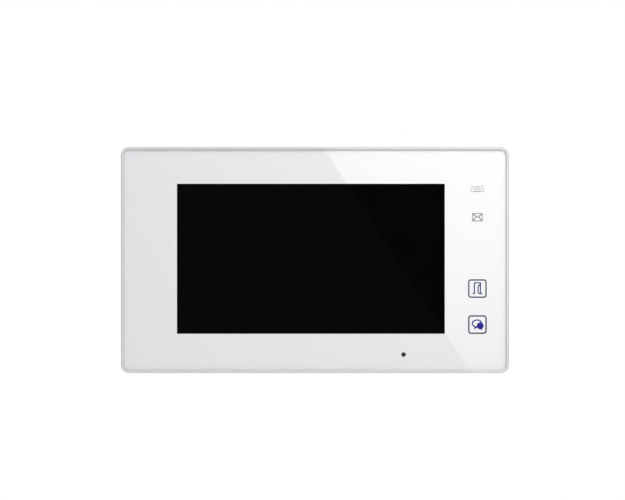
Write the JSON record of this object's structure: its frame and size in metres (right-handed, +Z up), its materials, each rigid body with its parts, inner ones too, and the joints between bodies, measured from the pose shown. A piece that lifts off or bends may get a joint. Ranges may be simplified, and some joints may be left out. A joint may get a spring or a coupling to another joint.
{
  "type": "video intercom monitor",
  "caption": "Flat wall-hung hands-free video intercom monitor with a glossy white face, a wide dark screen, touch icons at the right and a steel wall bracket behind.",
  "frame": {"origin": "midway between the two flush-box screw slots of the wall bracket, on its rear face, which lies on the wall", "axes": "+X along the monitor's width to its right as it is looked at, +Y into the wall, +Z up"},
  "size_m": [0.225, 0.022, 0.131],
  "materials": {
    "zinc_steel": "zinc plated, satin",
    "clear_glass": "polished",
    "white_print": "smooth white print",
    "grey_print": "grey print",
    "blue_print": "blue print",
    "foam_tape": "matt foam",
    "silver_frame": "silver, satin",
    "bezel_steel": "stamped sheet",
    "black_cell": "polished, dark",
    "film_white": "milky film",
    "clear_acrylic": "clear, polished",
    "led_strip": "flex circuit",
    "tray_white": "moulded",
    "ribbon_amber": "flex circuit",
    "ribbon_white": "flat cable",
    "chassis_steel": "galvanised",
    "screw_steel": "nickel plated",
    "board_green": "solder mask",
    "board_white": "white solder mask",
    "chip_black": "moulded resin",
    "ferrite": "wound ferrite",
    "can_aluminium": "drawn can",
    "shield_tin": "tin plated",
    "connector_ivory": "moulded nylon",
    "led_body": "small package",
    "capsule_metal": "drawn can",
    "black_rubber": "moulded",
    "red_wire": "insulated wire",
    "basket_steel": "black coated",
    "paper_cone": "pressed paper",
    "magnet_nickel": "nickel plated",
    "cover_plastic": "fine texture",
    "label_white": "paper label, blank",
    "grey_rubber": "soft foot",
    "switch_blue": "moulded",
    "slider_white": "moulded",
    "terminal_green": "moulded",
    "contact_tin": "tinned brass"
  },
  "bodies": {
    "bracket": {"wall_bracket": "zinc_steel"},
    "monitor": {"cover_glass": "clear_glass", "print_film": "white_print", "indicator_icons": "grey_print", "key_icons": "blue_print", "glass_tape": "foam_tape", "front_frame": "silver_frame", "display_gasket": "foam_tape", "display_bezel": "bezel_steel", "lcd_cell": "black_cell", "diffuser_films": "film_white", "light_guide": "clear_acrylic", "backlight_strip": "led_strip", "display_tray": "tray_white", "display_ribbon": "ribbon_amber", "chassis_plate": "chassis_steel", "chassis_screws": "screw_steel", "main_board": "board_green", "board_spacers": "screw_steel", "board_screws": "screw_steel", "processor": "chip_black", "board_chips": "chip_black", "bus_inductors": "ferrite", "capacitors": "can_aluminium", "shield_can": "shield_tin", "board_connectors": "connector_ivory", "key_board": "board_white", "key_light_box": "tray_white", "key_leds": "led_body", "key_ribbon": "ribbon_white", "microphone": "capsule_metal", "microphone_boot": "black_rubber", "microphone_wires": "red_wire", "speaker_frame": "basket_steel", "speaker_surround": "black_rubber", "speaker_magnet": "magnet_nickel", "speaker_gasket": "foam_tape", "speaker_screws": "screw_steel", "speaker_wires": "red_wire", "rear_cover": "cover_plastic", "case_screws": "screw_steel", "rating_label": "label_white", "rubber_pads": "grey_rubber", "switch_housing": "switch_blue", "terminal_header": "terminal_green"},
    "plug": {"terminal_plug": "terminal_green", "terminal_contacts": "contact_tin"},
    "cone": {"speaker_cone": "paper_cone"},
    "clamp_screw_1": {"clamp_screw_1": "screw_steel"},
    "clamp_cage_1": {"clamp_cage_1": "contact_tin"},
    "switch_slider_1": {"switch_slider_1": "slider_white"},
    "clamp_screw_2": {"clamp_screw_2": "screw_steel"},
    "clamp_cage_2": {"clamp_cage_2": "contact_tin"},
    "switch_slider_2": {"switch_slider_2": "slider_white"},
    "clamp_screw_3": {"clamp_screw_3": "screw_steel"},
    "clamp_cage_3": {"clamp_cage_3": "contact_tin"},
    "switch_slider_3": {"switch_slider_3": "slider_white"},
    "clamp_screw_4": {"clamp_screw_4": "screw_steel"},
    "clamp_cage_4": {"clamp_cage_4": "contact_tin"},
    "switch_slider_4": {"switch_slider_4": "slider_white"}
  },
  "joints": [
    {"name": "monitor_lift", "type": "slide", "parent": "bracket", "child": "monitor", "axis": [0, 0, 1], "range_m": [0, 0.005]},
    {"name": "plug_pull", "type": "slide", "parent": "monitor", "child": "plug", "axis": [0, 0, -1], "range_m": [0, 0.0075]},
    {"name": "cone_stroke", "type": "slide", "parent": "monitor", "child": "cone", "axis": [0, 1, 0], "range_m": [-0.0004, 0.0004], "stiffness_N_per_m": 1500},
    {"name": "clamp_turn_1", "type": "hinge", "parent": "plug", "child": "clamp_screw_1", "pos_m": [-0.01371, -0.003, -0.0126], "axis": [0, -1, 0], "range_deg": [0, 1080]},
    {"name": "clamp_turn_2", "type": "hinge", "parent": "plug", "child": "clamp_screw_2", "pos_m": [-0.00991, -0.003, -0.0126], "axis": [0, -1, 0], "range_deg": [0, 1080]},
    {"name": "clamp_turn_3", "type": "hinge", "parent": "plug", "child": "clamp_screw_3", "pos_m": [-0.00609, -0.003, -0.0126], "axis": [0, -1, 0], "range_deg": [0, 1080]},
    {"name": "clamp_turn_4", "type": "hinge", "parent": "plug", "child": "clamp_screw_4", "pos_m": [-0.00229, -0.003, -0.0126], "axis": [0, -1, 0], "range_deg": [0, 1080]},
    {"name": "clamp_rise_1", "type": "slide", "parent": "plug", "child": "clamp_cage_1", "axis": [0, 1, 0], "range_m": [0, 0.0012]},
    {"name": "clamp_rise_2", "type": "slide", "parent": "plug", "child": "clamp_cage_2", "axis": [0, 1, 0], "range_m": [0, 0.0012]},
    {"name": "clamp_rise_3", "type": "slide", "parent": "plug", "child": "clamp_cage_3", "axis": [0, 1, 0], "range_m": [0, 0.0012]},
    {"name": "clamp_rise_4", "type": "slide", "parent": "plug", "child": "clamp_cage_4", "axis": [0, 1, 0], "range_m": [0, 0.0012]},
    {"name": "switch_1", "type": "slide", "parent": "monitor", "child": "switch_slider_1", "axis": [0, 0, 1], "range_m": [0, 0.0018]},
    {"name": "switch_2", "type": "slide", "parent": "monitor", "child": "switch_slider_2", "axis": [0, 0, 1], "range_m": [0, 0.0018]},
    {"name": "switch_3", "type": "slide", "parent": "monitor", "child": "switch_slider_3", "axis": [0, 0, 1], "range_m": [0, 0.0018]},
    {"name": "switch_4", "type": "slide", "parent": "monitor", "child": "switch_slider_4", "axis": [0, 0, 1], "range_m": [0, 0.0018]}
  ],
  "couplings": [
    {"joint": "clamp_turn_1", "follows": "clamp_rise_1", "rad_per_m": 15708},
    {"joint": "clamp_turn_2", "follows": "clamp_rise_2", "rad_per_m": 15708},
    {"joint": "clamp_turn_3", "follows": "clamp_rise_3", "rad_per_m": 15708},
    {"joint": "clamp_turn_4", "follows": "clamp_rise_4", "rad_per_m": 15708}
  ]
}
